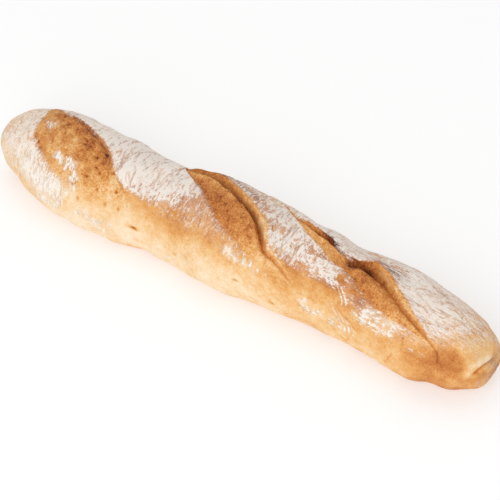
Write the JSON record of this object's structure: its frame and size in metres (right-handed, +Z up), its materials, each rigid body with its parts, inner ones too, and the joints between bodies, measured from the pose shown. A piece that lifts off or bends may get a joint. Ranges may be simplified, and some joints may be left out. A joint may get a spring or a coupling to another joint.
{
  "type": "bread loaf",
  "caption": "Rustic baguette with a flat base, diagonal cuts that opened in the oven, raised torn ears and a flour-dusted crust",
  "frame": {"origin": "middle of the loaf's bounding box, at the level of its flat base", "axes": "+Z up; +X along the loaf towards its slimmer, blunt end; the cuts come down on the -Y side"},
  "size_m": [0.3721, 0.0732, 0.0597],
  "materials": {
    "crust": "matte"
  },
  "bodies": {
    "root": {"loaf": "crust"}
  },
  "joints": []
}
